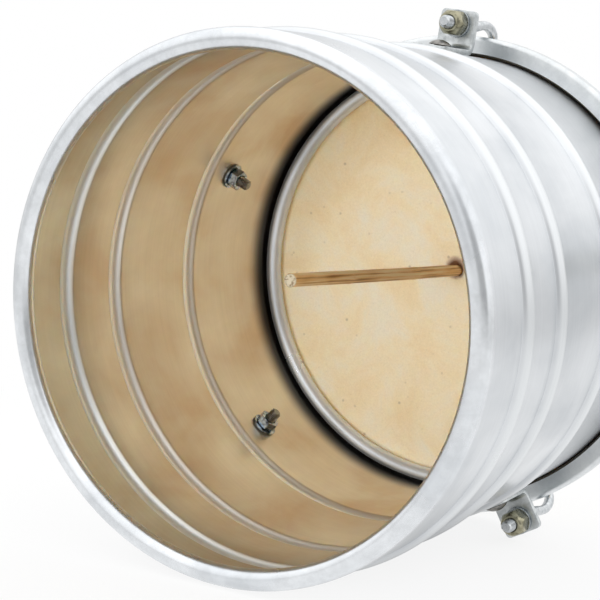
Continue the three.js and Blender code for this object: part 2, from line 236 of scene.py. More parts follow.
def spunAluminium(name, values):
    # spun aluminium sheet: turning lines run round it, and it is rubbed to a satin shine
    material, shader = newMaterial(name)
    link = material.node_tree.links.new
    place = drumCoordinates(material)
    along = addNode(material, "ShaderNodeSeparateXYZ", {0: place}).outputs[1]
    # turning lines are 0.1 mm apart, drawn 1.5 mm apart so that they show
    lines = addNode(material, "ShaderNodeTexNoise", {
        "Vector": stretched(material, place, (14, 650, 14)), "Scale": 1.0, "Detail": 3.0, "Roughness": 0.6})
    # rubbed patches 40 mm across
    patches = addNode(material, "ShaderNodeTexNoise", {
        "Vector": stretched(material, place, (1, 0.7, 1)), "Scale": 24.0, "Detail": 4.0, "Roughness": 0.5,
        "Distortion": 0.3})
    tone = addNode(material, "ShaderNodeValToRGB", {"Fac": patches.outputs["Fac"]},
                   stops=((0.3, toLinear(values["stain"])), (0.5, toLinear(values["dark"])),
                          (0.7, toLinear(values["light"]))))
    # the crowns of the beads are rubbed bright outside; inside, the same bands are painted white, a painted
    # highlight on the bead lines
    crown = None
    for bead in beads:
        away = addNode(material, "ShaderNodeMath", {0: along, 1: bead * mm}, operation="SUBTRACT")
        near = addNode(material, "ShaderNodeMath", {0: away.outputs[0]}, operation="ABSOLUTE").outputs[0]
        share = drumSpan(material, near, *shellMarks["crown"], 1.0, 0.0)
        crown = share if crown is None else addNode(
            material, "ShaderNodeMath", {0: crown, 1: share}, operation="MAXIMUM").outputs[0]
    rubbed = addNode(material, "ShaderNodeMix", {
        0: crown, 6: tone.outputs["Color"], 7: toLinear(values["crown"])}, data_type="RGBA")
    # near the rim the inside is painted cooler and lighter, a painted reflection of the white room in place
    # of the hide's
    paintedReflectionNearRim = drumSpan(material, along, *shellMarks["paintedReflectionNearRim"], 1.0, 0.0)
    reflectionTintedNearRim = addNode(material, "ShaderNodeMix", {
        0: paintedReflectionNearRim, 6: rubbed.outputs[2], 7: toLinear(values["paintedReflectionNearRim"])}, data_type="RGBA",
        blend_type="MULTIPLY")
    # knocks and hand marks mottle the rim, 8 mm across; outside, the rim is also painted lighter than the
    # wall, a painted highlight
    knocks = addNode(material, "ShaderNodeTexNoise", {
        "Vector": place, "Scale": 120.0, "Detail": 5.0, "Roughness": 0.7})
    knockAndLightTone = addNode(material, "ShaderNodeMapRange", {
        "Value": knocks.outputs["Fac"], "From Min": 0.35, "From Max": 0.6, "To Min": values["rimKnockAndLightLow"] - 1.0,
        "To Max": values["rimKnockAndLightHigh"] - 1.0})
    onRim = drumSpan(material, along, *shellMarks["rim"], 1.0, 0.0)
    rim = addNode(material, "ShaderNodeMath", {0: knockAndLightTone.outputs[0], 1: onRim, 2: 1.0},
                  operation="MULTIPLY_ADD")
    # painted shade darkens the inside corner beside the head; outside, the same span is painted lighter, a
    # painted highlight on the lip
    corner = drumSpan(material, along, values["cornerPaintedLightFrom"], values["cornerPaintedLightTo"], 1.0, values["cornerPaintedLightTone"])
    fine = addNode(material, "ShaderNodeMapRange", {
        "Value": lines.outputs["Fac"], "From Min": 0.3, "From Max": 0.7, "To Min": values["lineDark"],
        "To Max": 1.0})
    ends = addNode(material, "ShaderNodeMath", {0: rim.outputs[0], 1: corner}, operation="MULTIPLY")
    shade = addNode(material, "ShaderNodeMath", {0: ends.outputs[0], 1: fine.outputs[0]},
                    operation="MULTIPLY")
    shaded = addNode(material, "ShaderNodeVectorMath", {
        0: reflectionTintedNearRim.outputs[2], "Scale": shade.outputs[0]}, operation="SCALE")
    link(shaded.outputs[0], shader.inputs["Base Color"])
    # the edge under the head is left duller than the wall
    metal = drumSpan(material, along, *shellMarks["lip"], values["metallic"], values["lipMetallic"])
    link(metal, shader.inputs["Metallic"])
    rough = addNode(material, "ShaderNodeMapRange", {
        "Value": patches.outputs["Fac"], "From Min": 0.3, "From Max": 0.7, "To Min": values["roughMost"],
        "To Max": values["roughLeast"]})
    rubbing = addNode(material, "ShaderNodeMath", {
        0: onRim, 1: values["rimRough"], 2: rough.outputs[0]}, operation="MULTIPLY_ADD")
    link(rubbing.outputs[0], shader.inputs["Roughness"])
    bump = addNode(material, "ShaderNodeBump", {
        "Strength": values["bump"], "Distance": 0.05 * mm, "Height": lines.outputs["Fac"]})
    link(bump.outputs[0], shader.inputs["Normal"])
    return material


# outside: the rim is painted lighter than the wall, and the lip by the head lighter still, painted highlights
aluminiumOutside = spunAluminium("spunAluminium", {
    "light": "#E3E6E9", "dark": "#DBDEE1", "stain": "#CDD1D5", "crown": "#E6E9EB", "paintedReflectionNearRim": "#FFFFFF",
    "rimKnockAndLightLow": 1.03, "rimKnockAndLightHigh": 1.15, "cornerPaintedLightFrom": 205.0, "cornerPaintedLightTo": 222.0, "cornerPaintedLightTone": 1.15,
    "metallic": 1.0, "lipMetallic": 0.5, "rimRough": -0.06, "lineDark": 0.95,
    "roughMost": 0.36, "roughLeast": 0.27, "bump": 0.25})
# inside: painted warm, a painted reflection of the hide; the bead lines are painted white, a painted
# highlight; the corner by the head is painted dark, painted shade
insideWithPaintedReflection = spunAluminium("spunAluminiumInsidePaintedReflection", {
    "light": "#ECE4D4", "dark": "#E2D6C3", "stain": "#D9C1A4", "crown": "#FFFFFF", "paintedReflectionNearRim": "#F1F7FA",
    "rimKnockAndLightLow": 1.0, "rimKnockAndLightHigh": 1.0, "cornerPaintedLightFrom": 198.0, "cornerPaintedLightTo": 213.0, "cornerPaintedLightTone": 0.08,
    "metallic": 0.92, "lipMetallic": 0.92, "rimRough": 0.0, "lineDark": 0.95,
    "roughMost": 0.42, "roughLeast": 0.33, "bump": 0.25})


def goatskin(values):
    # rawhide goatskin: creamy, slightly see-through, with clouded fat, pores and a few darker hairs
    material, shader = newMaterial("goatskin", **{
        "Roughness": 0.55, "Specular IOR Level": 0.35, "Subsurface Weight": 0.7,
        "Subsurface Scale": 2.5 * mm})
    shader.inputs["Subsurface Radius"].default_value = (1.0, 0.75, 0.5)
    link = material.node_tree.links.new
    place = drumCoordinates(material)
    # fat clouds the hide in patches 30 mm across
    clouds = addNode(material, "ShaderNodeTexNoise", {"Vector": place, "Scale": 30.0, "Detail": 8.0,
                                                      "Roughness": 0.68, "Distortion": 0.5})
    tone = addNode(material, "ShaderNodeValToRGB", {"Fac": clouds.outputs["Fac"]},
                   stops=((0.34, toLinear(values["dark"])), (0.5, toLinear(values["middle"])),
                          (0.64, toLinear(values["light"]))))
    # grain of the hide, 1.2 mm across
    grain = addNode(material, "ShaderNodeTexNoise", {"Vector": place, "Scale": 850.0, "Detail": 3.0,
                                                     "Roughness": 0.7})
    grainTone = addNode(material, "ShaderNodeMapRange", {"Value": grain.outputs["Fac"], "From Min": 0.3,
                                                         "From Max": 0.7, "To Min": 0.94, "To Max": 1.03})
    # pores and hair roots, 2 to 3 mm apart
    pores = addNode(material, "ShaderNodeTexVoronoi", {"Vector": place, "Scale": 400.0, "Randomness": 1.0})
    poreTone = addNode(material, "ShaderNodeMapRange", {
        "Value": pores.outputs["Distance"], "From Min": 0.05, "From Max": 0.22,
        "To Min": 0.93, "To Max": 1.0})
    # dark flecks of pigment, 1 mm across and about 10 mm apart
    flecks = addNode(material, "ShaderNodeTexVoronoi", {"Vector": place, "Scale": 105.0, "Randomness": 1.0})
    fleckTone = addNode(material, "ShaderNodeMapRange", {
        "Value": flecks.outputs["Distance"], "From Min": 0.04, "From Max": 0.12,
        "To Min": 0.7, "To Max": 1.0})
    skinTone = addNode(material, "ShaderNodeMath", {0: grainTone.outputs[0], 1: poreTone.outputs[0]},
                       operation="MULTIPLY")
    both = addNode(material, "ShaderNodeMath", {0: skinTone.outputs[0], 1: fleckTone.outputs[0]},
                   operation="MULTIPLY")
    # brown from the rubbed wax and water round the tied stick
    centre = addNode(material, "ShaderNodeVectorMath", {0: place, 1: tuple(v * mm for v in values["tie"])},
                     operation="DISTANCE")
    ragged = addNode(material, "ShaderNodeMath", {
        0: clouds.outputs["Fac"], 1: 9 * mm, 2: centre.outputs["Value"]}, operation="MULTIPLY_ADD")
    stain = addNode(material, "ShaderNodeMapRange", {
        "Value": ragged.outputs[0], "From Min": values["stainFrom"] * mm,
        "From Max": values["stainTo"] * mm, "To Min": 0.95, "To Max": 0.0})
    shaded = addNode(material, "ShaderNodeVectorMath", {0: tone.outputs["Color"], "Scale": both.outputs[0]},
                     operation="SCALE")
    stained = addNode(material, "ShaderNodeMix", {
        0: stain.outputs[0], 6: shaded.outputs[0], 7: toLinear(values["stain"])}, data_type="RGBA")
    # the collar outside the shell is painted dark, painted shade in the gap under the hoop
    along = addNode(material, "ShaderNodeSeparateXYZ", {0: place}).outputs[1]
    collar = drumSpan(material, along, 219.0, 225.0, values["collarShadeTone"], 1.0)
    collarShaded = addNode(material, "ShaderNodeVectorMath", {0: stained.outputs[2], "Scale": collar},
                       operation="SCALE")
    link(collarShaded.outputs[0], shader.inputs["Base Color"])
    height = addNode(material, "ShaderNodeMath", {0: grain.outputs["Fac"], 1: pores.outputs["Distance"]},
                     operation="ADD")
    bump = addNode(material, "ShaderNodeBump", {"Strength": 0.35, "Distance": 0.15 * mm,
                                                "Height": height.outputs[0]})
    link(bump.outputs[0], shader.inputs["Normal"])
    return material


hide = goatskin({"dark": "#E9D9BC", "middle": "#EEE2CD", "light": "#ECE6DA", "stain": "#6B4424",
                 "tie": (0.8, 226.6, 4.3), "stainFrom": 7.8, "stainTo": 11.5, "collarShadeTone": 0.12})


def platedSteel(name, light, dark, values):
    # zinc on steel: the crystals and the tumbling leave small patches of different shine;
    # spangle and wear say how many patches there are in a metre
    material, shader = newMaterial(name, Metallic=1.0)
    link = material.node_tree.links.new
    place = drumCoordinates(material)
    spangle = addNode(material, "ShaderNodeTexVoronoi", {"Vector": place, "Scale": values["spangle"]})
    wear = addNode(material, "ShaderNodeTexNoise", {"Vector": place, "Scale": values["wear"], "Detail": 5.0,
                                                    "Roughness": 0.65})
    shade = addNode(material, "ShaderNodeRGBToBW", {"Color": spangle.outputs["Color"]})
    both = addNode(material, "ShaderNodeMath", {
        0: shade.outputs[0], 1: values["mix"], 2: wear.outputs["Fac"]}, operation="MULTIPLY_ADD")
    tone = addNode(material, "ShaderNodeValToRGB", {"Fac": both.outputs[0]},
                   stops=((0.35, toLinear(dark)), (0.75, toLinear(light))))
    link(tone.outputs["Color"], shader.inputs["Base Color"])
    rough = addNode(material, "ShaderNodeMapRange", {
        "Value": both.outputs[0], "From Min": 0.3, "From Max": 0.8,
        "To Min": values["roughMost"], "To Max": values["roughLeast"]})
    link(rough.outputs[0], shader.inputs["Roughness"])
    bump = addNode(material, "ShaderNodeBump", {"Strength": values["bump"], "Distance": 0.06 * mm,
                                                "Height": wear.outputs["Fac"]})
    link(bump.outputs[0], shader.inputs["Normal"])
    return material


galvanised = platedSteel("galvanisedSteel", "#D6DADB", "#B2B7B8", {
    "spangle": 420.0, "wear": 260.0, "mix": 0.22, "roughMost": 0.48, "roughLeast": 0.3, "bump": 0.3})
zincForging = platedSteel("zincPlatedForging", "#DADDDF", "#B4B9BC", {
    "spangle": 700.0, "wear": 320.0, "mix": 0.12, "roughMost": 0.42, "roughLeast": 0.24, "bump": 0.35})
yellowZinc = platedSteel("yellowZinc", "#A9A58E", "#6B6853", {
    "spangle": 500.0, "wear": 340.0, "mix": 0.3, "roughMost": 0.32, "roughLeast": 0.16, "bump": 0.2})
brightZinc = platedSteel("brightZinc", "#C4C9CC", "#8F969B", {
    "spangle": 600.0, "wear": 420.0, "mix": 0.2, "roughMost": 0.38, "roughLeast": 0.22, "bump": 0.2})
dullZinc = platedSteel("dullZinc", "#A3A19D", "#66635F", {
    "spangle": 600.0, "wear": 420.0, "mix": 0.2, "roughMost": 0.42, "roughLeast": 0.28, "bump": 0.2})
blackZinc = platedSteel("blackZinc", "#C9D6E2", "#2F363D", {
    "spangle": 600.0, "wear": 420.0, "mix": 0.25, "roughMost": 0.3, "roughLeast": 0.14, "bump": 0.25})
hoopSteel = platedSteel("platedHoopSteel", "#E8EBEC", "#D2D6D8", {
    "spangle": 300.0, "wear": 120.0, "mix": 0.08, "roughMost": 0.4, "roughLeast": 0.26, "bump": 0.15})


def caneWood(values):
    # peeled cane: long fibres, darker where hands and wax have rubbed it, open pores on the cut end
    material, shader = newMaterial("peeledCane", **{"Roughness": 0.48, "Specular IOR Level": 0.4})
    link = material.node_tree.links.new
    drum = drumCoordinates(material)
    # the stick leans, so its fibres do too
    along = addNode(material, "ShaderNodeSeparateXYZ", {0: drum}).outputs[1]
    shift = addNode(material, "ShaderNodeVectorMath", {0: values["slope"], "Scale": along},
                    operation="SCALE")
    place = addNode(material, "ShaderNodeVectorMath", {0: drum, 1: shift.outputs[0]},
                    operation="SUBTRACT").outputs[0]
    # fibres are 1.2 mm across, and rubbed patches 8 mm across and 45 mm long
    fibres = addNode(material, "ShaderNodeTexNoise", {
        "Vector": stretched(material, place, (800, 10, 800)), "Scale": 1.0, "Detail": 4.0,
        "Roughness": 0.6})
    patches = addNode(material, "ShaderNodeTexNoise", {
        "Vector": stretched(material, place, (120, 22, 120)), "Scale": 1.0, "Detail": 3.0})
    both = addNode(material, "ShaderNodeMath", {0: patches.outputs["Fac"], 1: 0.6, 2: fibres.outputs["Fac"]},
                   operation="MULTIPLY_ADD")
    tone = addNode(material, "ShaderNodeValToRGB", {"Fac": both.outputs[0]},
                   stops=((0.66, toLinear(values["dark"])), (0.8, toLinear(values["middle"])),
                          (0.94, toLinear(values["light"]))))
    # the cut end shows the pale pith
    pith = drumSpan(material, along, values["end"], values["end"] + 0.8, 1.0, 0.0)
    pores = addNode(material, "ShaderNodeValToRGB", {"Fac": fibres.outputs["Fac"]},
                    stops=((0.38, toLinear(values["pore"])), (0.5, toLinear(values["pith"]))))
    ended = addNode(material, "ShaderNodeMix", {0: pith, 6: tone.outputs["Color"], 7: pores.outputs["Color"]},
                    data_type="RGBA")
    link(ended.outputs[2], shader.inputs["Base Color"])
    bump = addNode(material, "ShaderNodeBump", {"Strength": 0.5, "Distance": 0.15 * mm,
                                                "Height": fibres.outputs["Fac"]})
    link(bump.outputs[0], shader.inputs["Normal"])
    return material


cane = caneWood({
    "dark": "#AC7337", "middle": "#F0BD78", "light": "#FCE0AC", "pith": "#C0B49B", "pore": "#7E6B50",
    "end": 50.8, "slope": (0.0192, 0.0, -0.0412)})


def waxedThread():
    # waxed linen thread: brown, with a twist and a dull wax shine
    material, shader = newMaterial("waxedThread", **{"Roughness": 0.6, "Sheen Weight": 0.3})
    link = material.node_tree.links.new
    place = drumCoordinates(material)
    # strands are 1 mm long and 0.4 mm apart
    twist = addNode(material, "ShaderNodeTexNoise", {
        "Vector": stretched(material, place, (900, 2600, 900)), "Scale": 1.0, "Detail": 2.0})
    tone = addNode(material, "ShaderNodeValToRGB", {"Fac": twist.outputs["Fac"]},
                   stops=((0.35, toLinear("#5E452B")), (0.7, toLinear("#9A7B52"))))
    link(tone.outputs["Color"], shader.inputs["Base Color"])
    bump = addNode(material, "ShaderNodeBump", {"Strength": 0.6, "Distance": 0.1 * mm,
                                                "Height": twist.outputs["Fac"]})
    link(bump.outputs[0], shader.inputs["Normal"])
    return material


thread = waxedThread()
print("materials are made")

# Camera, at the place that the photograph was taken from

photoCamera = {
    "lens": 87.67,
    # in the camera's own frame: x right, y down, z forward
    "drumAxis": (0.50882055, -0.08566003, 0.85660026),
    "drumRight": (0.85976037, 0.0, -0.51069766),
    "rimCentre": (-29.277, 5.321, 621.018),
    "roll": 5.36,                                   # degrees from drumRight to the drum's X
}


def addCamera():
    data = bpy.data.cameras.new("photoCamera")
    camera = bpy.data.objects.new("photoCamera", data)
    bpy.context.collection.objects.link(camera)
    data.lens = photoCamera["lens"]
    data.clip_start = 0.01
    along = Vector(photoCamera["drumAxis"]).normalized()
    right = Vector(photoCamera["drumRight"]).normalized()
    across = (Matrix.Rotation(math.radians(photoCamera["roll"]), 3, along) @ right).normalized()
    up = across.cross(along)
    seen = Matrix((across, along, up))              # rows: the camera's frame into the drum's
    spot = -(seen @ (Vector(photoCamera["rimCentre"]) * mm))
    flipped = seen @ Matrix.Diagonal((1, -1, -1))
    camera.matrix_world = toWorld @ Matrix.Translation(spot) @ flipped.to_4x4()
    bpy.context.scene.camera = camera


addCamera()
print("camera is placed")

# Shell

shell = {
    "radius": 120.0, "sheet": 1.0, "length": 221.0, "steps": 240,
    "roll": 4.8, "rollTurn": 292,                   # outer radius of both rolls, and degrees of curl
    "beadWidth": 10.4, "beadHeight": 2.6, "beadFillet": 0.6,
}


def shellLine():
    line = shell["roll"] - shell["sheet"] / 2
    centre = shell["radius"] - shell["roll"]
    wall = shell["radius"] - shell["sheet"] / 2
    points = [(r, -s) for r, s in arc(centre, 0, line, shell["rollTurn"], 0, 20)]
    for place in beads:
        # an arc between two small fillets
        half, height, fillet = shell["beadWidth"] / 2, shell["beadHeight"], shell["beadFillet"]
        radius = (half ** 2 + height ** 2) / (2 * height)
        spread = math.degrees(math.asin(half / radius)) - 4
        crown = arc(wall + height - radius, place, radius, -spread, spread, 12)
        rise, reach = 0.12 * fillet, half + 0.35 * fillet
        points += [(wall, place - half - fillet), (wall + rise, place - reach)]
        points += crown
        points += [(wall + rise, place + reach), (wall, place + half + fillet)]
    points += [(r, shell["length"] + s) for r, s in arc(centre, 0, line, 0, shell["rollTurn"], 20)]
    return points


def buildShell():
    piece = spunPiece("shellSpun", shellLine(), shell["steps"])
    modify(piece, "SOLIDIFY", thickness=shell["sheet"] * mm, offset=0.0, use_even_offset=True)
    smoothPiece(piece, 50)
    # the inside wall is painted warm, a painted reflection of the hide, with painted shade by the head; the
    # rolled rim stays bright
    piece.data.materials.append(aluminiumOutside)
    piece.data.materials.append(insideWithPaintedReflection)
    innermost = shell["radius"] - 2.2
    outermost = shell["radius"] - shell["sheet"] * 0.2 + shell["beadHeight"]
    for face in piece.data.polygons:
        r = math.hypot(face.center.x, face.center.z) / mm
        s = face.center.y / mm
        inward = face.normal.x * face.center.x + face.normal.z * face.center.z < 0
        onWall = shell["roll"] * 0.6 < s < shell["length"] + 0.5
        if inward and onWall and innermost < r < outermost:
            face.material_index = 1
    moveMesh(piece, toWorld)
    finishPiece(piece, None, "shell_body", "satin_aluminium", "shell")


buildShell()
print("shell is spun")

# Head

head = {
    "skin": 1.0, "level": 226.6, "collar": 120.8, "wire": 2.0, "wireRadius": 125.9, "wireLevel": 213.2,
    "lap": 2.8, "lapTurn": 150, "turn": 2.0, "flatRings": (9, 12, 20, 40, 70, 95, 108), "steps": 240,
    # the pocket round the stick's knob, and how the hide spreads out from its neck
    "knob": 4.3, "knobCentre": 232.3, "neckTurn": 45, "tie": (1.6, 2.3), "tieReach": 35,
    "flare": 4.4, "flareBend": 2.2,
    # gathers in the neck where the binding draws the hide in
    "gathers": 14, "gatherDepth": 0.22, "gatherReach": 9.0, "gatherEnd": 1.5,
}


def skinLine():
    neck = head["knob"] * math.cos(math.radians(head["neckTurn"]))
    low = head["knobCentre"] - neck
    fall = low - head["level"]
    pocket = arc(0, head["knobCentre"], head["knob"], 90, -head["neckTurn"], 14)
    pocket[0] = (0.0, pocket[0][1])
    shares = [i / 9 for i in range(1, 10)]
    flare = [(neck + 0.1 + head["flare"] * share ** head["flareBend"],
              low - fall * math.sin(share * math.pi / 2)) for share in shares]
    flat = [(r, head["level"]) for r in head["flatRings"]]
    bearing = arc(shell["radius"] - shell["roll"], shell["length"],
                  shell["roll"] + fitGap + head["skin"] / 2, 90, 0, 8)
    lowest = head["wireLevel"] - head["lap"]
    turn = arc(head["collar"] + head["turn"], lowest + head["turn"], head["turn"], 180, 270, 6)
    lap = arc(head["wireRadius"], head["wireLevel"], head["lap"], -90, head["lapTurn"], 16)
    return pocket + flare + flat + bearing + turn + lap[1:]


def buildSkin():
    piece = spunPiece("goatskinHead", skinLine(), head["steps"])
    bpy.ops.object.mode_set(mode="EDIT")
    selectVertices(piece, lambda v: math.hypot(v.x, v.z) < head["tieReach"])
    bpy.ops.transform.translate(value=(head["tie"][0] * mm, 0, head["tie"][1] * mm))
    bpy.ops.object.mode_set(mode="OBJECT")
    for vertex in piece.data.vertices:
        x = vertex.co.x / mm - head["tie"][0]
        z = vertex.co.z / mm - head["tie"][1]
        s = vertex.co.y / mm
        r = math.hypot(x, z)
        top = head["knobCentre"] - head["gatherEnd"]
        if head["level"] < s < top and 0.5 < r < head["gatherReach"]:
            wave = math.sin(head["gathers"] * math.atan2(x, z) + 0.7 * math.sin(3 * math.atan2(x, z)))
            share = (s - head["level"]) / (top - head["level"])
            strength = head["gatherDepth"] * math.sin(math.pi * share)
            vertex.co.x += wave * strength * x / r * mm
            vertex.co.z += wave * strength * z / r * mm
    modify(piece, "SOLIDIFY", thickness=head["skin"] * mm, offset=0.0, use_even_offset=True)
    smoothPiece(piece, 60)
    moveMesh(piece, toWorld)
    finishPiece(piece, hide, "head_body", "goatskin", "skin_head")


buildSkin()
print("skin is stretched")

channel = {
    "radius": 130.9, "near": 208.2, "far": 218.2, "sheet": 1.4, "edge": 121.9, "lip": 3.0,
    "nearBend": 2.5, "farBend": 1.5, "grooveFrom": 214.6, "grooveTo": 216.0, "flank": 0.5, "groove": 0.35,
    "steps": 240,
}


def buildChannel():
    half = channel["sheet"] / 2
    near, far = channel["nearBend"], channel["farBend"]
    edge, wall = channel["edge"], channel["radius"] - half
    line = [(edge, channel["near"] + half), (edge + channel["lip"], channel["near"] + half)]
    line += arc(channel["radius"] - near, channel["near"] + near, near - half, -90, 0, 6)
    # a shallow groove runs round close to the far edge
    low, high = channel["grooveFrom"], channel["grooveTo"]
    line += [(wall, low), (wall - channel["groove"], low + channel["flank"]),
             (wall - channel["groove"], high - channel["flank"]), (wall, high)]
    line += arc(channel["radius"] - far, channel["far"] - far, far - half, 0, 90, 6)
    line += [(edge + channel["lip"], channel["far"] - half), (edge, channel["far"] - half)]
    piece = spunPiece("counterhoopChannel", line, channel["steps"])
    modify(piece, "SOLIDIFY", thickness=channel["sheet"] * mm, offset=0.0, use_even_offset=True)
    smoothPiece(piece, 40)
    moveMesh(piece, toWorld)
    finishPiece(piece, hoopSteel, "head_body", "plated_channel_steel", "counterhoop")


def buildWire():
    ring = arc(head["wireRadius"], head["wireLevel"], head["wire"], 0, 345, 23)
    piece = spunPiece("fleshHoopWire", ring, 200, closed=True)
    smoothPiece(piece, 60)
    moveMesh(piece, toWorld)
    finishPiece(piece, brightZinc, "head_body", "steel_wire", "flesh_hoop")


buildChannel()
buildWire()

# Threads and nuts, each drawn round Z


def coilRidge(name, radius, depth, pitch, low, high):
    # the raised ridge of a screw thread, its root sunk into the core and its ends closed
    root = radius - depth - 0.08
    start = (root, 0, low)
    points = [start, (radius, 0, low + pitch * 0.5), (root, 0, low + pitch * 0.96)]
    piece = startWire(name, tuple(p * mm for p in start))
    extrudeAlong(points, closed=True)
    bpy.ops.object.mode_set(mode="OBJECT")
    modify(piece, "SCREW", axis="Z", angle=fullTurn, screw_offset=pitch * mm, steps=20, render_steps=20,
           iterations=max(1, int((high - low) / pitch) - 1), use_merge_vertices=False)
    bpy.ops.object.mode_set(mode="EDIT")
    bpy.ops.mesh.select_all(action="SELECT")
    bpy.ops.mesh.fill_holes(sides=3)
    tidyNormals()
    return piece


def hexNut(name, across, height, hole, low, nose=()):
    # a hexagonal bar with turned ends: the corners are cut back round both faces
    corner = across / 2 / math.cos(math.pi / 6)
    face = across / 2 * 0.96
    drop = (corner - face) * 0.5
    chamfer = 0.45
    bore = hole + chamfer
    near = [(r, low + s) for r, s in nose] or [(face, low), (corner + 0.1, low + drop)]
    ring = [(hole, low + chamfer), (bore, low)] + near + [
        (corner + 0.1, low + height - drop), (face, low + height), (bore, low + height),
        (hole, low + height - chamfer)]
    piece = spunPiece(name, ring, 72, closed=True, axis="Z")
    bpy.ops.object.select_all(action="DESELECT")
    bpy.ops.mesh.primitive_cylinder_add(vertices=6, radius=corner * mm, depth=(height + 2) * mm,
                                        location=(0, 0, (low + height / 2) * mm))
    bar = bpy.context.object
    bpy.ops.transform.rotate(value=math.pi / 6, orient_axis="Z", center_override=(0, 0, 0))
    bpy.ops.object.transform_apply(location=True, rotation=True, scale=True)
    cutWith(piece, bar, "INTERSECT")
    modify(piece, "BEVEL", width=0.12 * mm, segments=2, limit_method="ANGLE", angle_limit=math.radians(35))
    return piece


def washer(name, radius, hole, sheet, low):
    edge = 0.2
    ring = [(hole + edge, low), (radius - edge, low), (radius, low + edge),
            (radius, low + sheet - edge * 1.6), (radius - edge * 2, low + sheet),
            (hole + edge, low + sheet), (hole, low + sheet - edge), (hole, low + edge)]
    return spunPiece(name, ring, 64, closed=True, axis="Z")


# Lugs: X runs across, Y along the drum and Z out from its axis

lug = {
    "plateNear": 177.8, "sheet": 3.0, "width": 20.0, "footEnd": 148.8, "foot": 120.06, "reach": 142.5,
    "bend": 3.0, "corner": 2.5, "edge": 0.35, "drill": 8.0,
    "bolt": 161.3, "boltHole": 3.3, "rod": 135.475, "rodHole": 3.675,
}


def buildBrackets():
    half = lug["sheet"] / 2
    bend = lug["bend"] + half
    plate = lug["plateNear"] + half
    foot = lug["foot"] + half
    line = [(lug["footEnd"], foot), (lug["footEnd"] + 8, foot)]
    line += arc(plate - bend, foot + bend, bend, -90, 0, 8)
    line += [(plate, lug["reach"] - 6), (plate, lug["reach"])]
    points = [(-lug["width"] / 2, s, r) for s, r in line]
    piece = startWire("bracketMaster", tuple(p * mm for p in points[0]))
    extrudeAlong(points)
    bpy.ops.mesh.extrude_region_move(TRANSFORM_OT_translate={"value": (lug["width"] * mm, 0, 0)})
    selectVertices(piece, lambda v: v.y < lug["footEnd"] + 0.1 or v.z > lug["reach"] - 0.1)
    bpy.ops.mesh.bevel(offset=lug["corner"] * mm, segments=6, affect="VERTICES")
    tidyNormals()
    modify(piece, "SOLIDIFY", thickness=lug["sheet"] * mm, offset=0.0, use_even_offset=True)
    for radius, spot, turn in (
        (lug["rodHole"], (0, plate, lug["rod"]), (math.pi / 2, 0, 0)),
        (lug["boltHole"], (0, lug["bolt"], foot), (0, 0, 0)),
    ):
        bpy.ops.object.select_all(action="DESELECT")
        bpy.ops.mesh.primitive_cylinder_add(vertices=48, radius=radius * mm, depth=lug["drill"] * mm,
                                            location=tuple(p * mm for p in spot), rotation=turn)
        hole = bpy.context.object
        bpy.ops.object.transform_apply(location=True, rotation=True, scale=True)
        cutWith(piece, hole)
    modify(piece, "BEVEL", width=lug["edge"] * mm, segments=3, limit_method="ANGLE",
           angle_limit=math.radians(40))
    smoothPiece(piece, 35)
    onEveryLug(piece, "bracket", "bracket", galvanised, "galvanised_steel", "shell_body")


buildBrackets()

rod = {
    "radius": 3.175, "thread": 0.62, "pitch": 1.27, "threadFrom": 161.4, "threadTo": 188.4,
    # radius and place of the core and of the plain neck that is drawn down to the crook
    "core": ((0, 161.1), (2.075, 161.1), (2.555, 161.7), (2.555, 187.5), (3.175, 188.6), (3.175, 193.0),
             (3.025, 194.4), (2.5, 196.0), (0, 196.0)),
}
crook = {
    "radius": 2.4, "tip": (220.5, 124.6), "tipCut": 1.9, "crownPlace": 211.1, "crown": 136.875,
    "farthest": 225.5, "shoulder": 130.07, "steps": 12,
    # place along the drum, and how far the line stands out from the rod's line
    "rise": ((190.5, -0.6), (193.5, -0.6), (196.5, -0.55), (199.5, -0.3), (202.5, 0.2), (205.5, 0.8),
             (208.5, 1.22)),
    # place and distance from the axis, down to the tip
    "curl": ((225.2, 129.0), (224.5, 128.0), (223.5, 127.0), (222.2, 126.0)),
}


def buildHooks():
    core = spunPiece("hookMaster", rod["core"], 40)
    ridge = coilRidge("hookThread", rod["radius"], rod["thread"], rod["pitch"], rod["threadFrom"],
                      rod["threadTo"])
    moveMesh(ridge, Matrix.Rotation(-math.pi / 2, 4, "X"))
    joinPieces(core, ridge)
    moveMesh(core, Matrix.Translation((0, 0, lug["rod"] * mm)))
    # the crook rises to a crown and curls in over the hoop
    line = [(s, lug["rod"] + out) for s, out in crook["rise"]]
    line += [(crook["crownPlace"] + (crook["farthest"] - crook["crownPlace"]) * x,
              crook["shoulder"] + (crook["crown"] - crook["shoulder"]) * y)
             for x, y in arc(0, 0, 1, 90, 0, crook["steps"])]
    line += [*crook["curl"], crook["tip"]]
    points = [(-crook["radius"], s, r) for s, r in line]
    flat = startWire("hookCrook", tuple(p * mm for p in points[0]))
    extrudeAlong(points)
    bpy.ops.mesh.extrude_region_move(TRANSFORM_OT_translate={"value": (2 * crook["radius"] * mm, 0, 0)})
    selectVertices(flat, lambda v: v.z < crook["tip"][1] + 0.1)
    bpy.ops.mesh.bevel(offset=crook["tipCut"] * mm, segments=6, affect="VERTICES")
    tidyNormals()
    modify(flat, "SOLIDIFY", thickness=2 * crook["radius"] * mm, offset=0.0, use_even_offset=True)
    modify(flat, "BEVEL", width=0.95 * crook["radius"] * mm, segments=6, limit_method="ANGLE",
           angle_limit=math.radians(60))
    joinPieces(core, flat)
    smoothPiece(core, 45)
    onEveryLug(core, "tuningHook", "tuning_hook", zincForging, "zinc_plated_forging", "head_body")


buildHooks()

